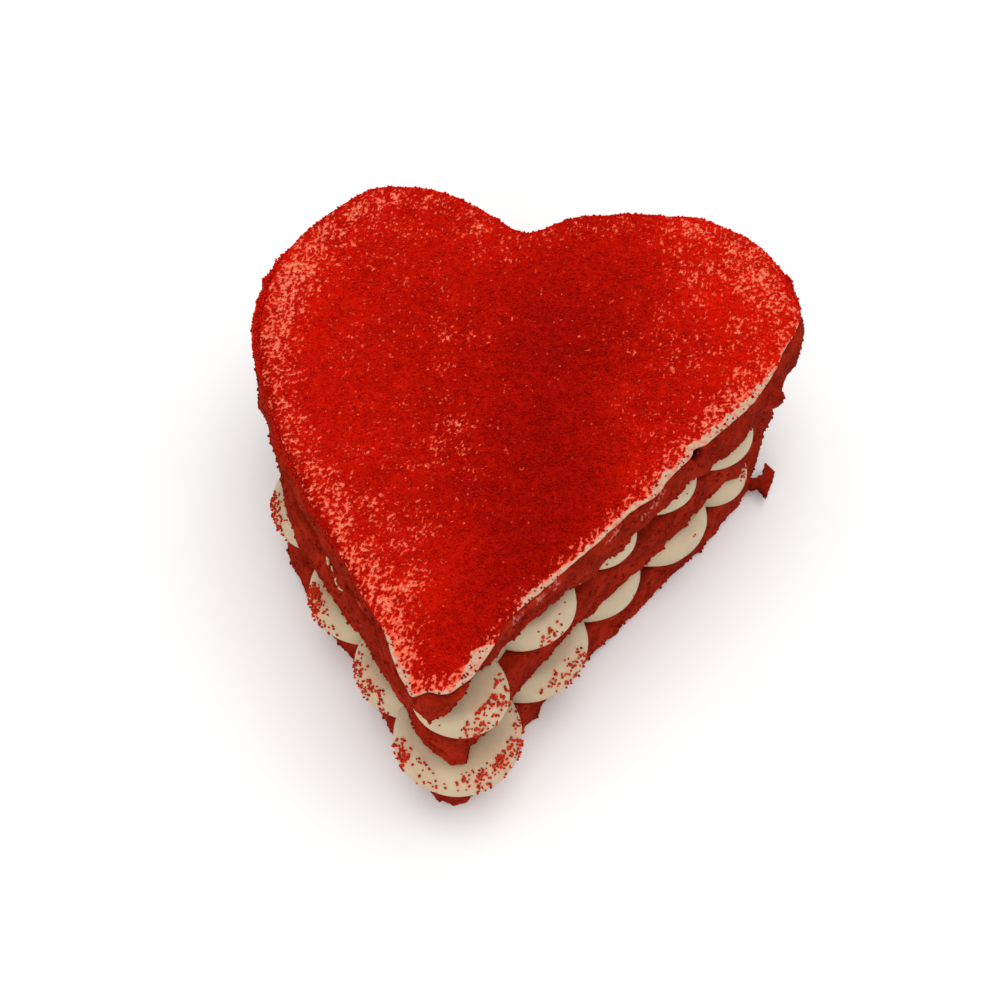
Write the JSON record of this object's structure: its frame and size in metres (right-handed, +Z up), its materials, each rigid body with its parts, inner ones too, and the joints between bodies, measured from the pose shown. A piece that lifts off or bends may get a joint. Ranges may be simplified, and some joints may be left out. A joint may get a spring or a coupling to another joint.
{
  "type": "heart shaped layer cake",
  "caption": "Heart shaped red sponge layer cake with rows of piped cream mounds between the sponges and red cake crumbs over a thin cream top.",
  "frame": {"origin": "centre of the cake's box, on the flat underside of the bottom sponge", "axes": "+Z up, +Y from the heart's point towards the notch between its lobes, +X to the right as seen from the point"},
  "size_m": [0.2025, 0.2254, 0.0828],
  "materials": {
    "sponge": "matt open crumb, dark red",
    "cream": "smooth satin ivory",
    "crumbed_cream": "matt fine red crumbs over ivory cream"
  },
  "bodies": {
    "root": {"sponge_bottom": "sponge", "cream_lower": "cream", "sponge_middle": "sponge", "cream_upper": "cream", "sponge_top": "sponge", "cream_top": "crumbed_cream"}
  },
  "joints": []
}
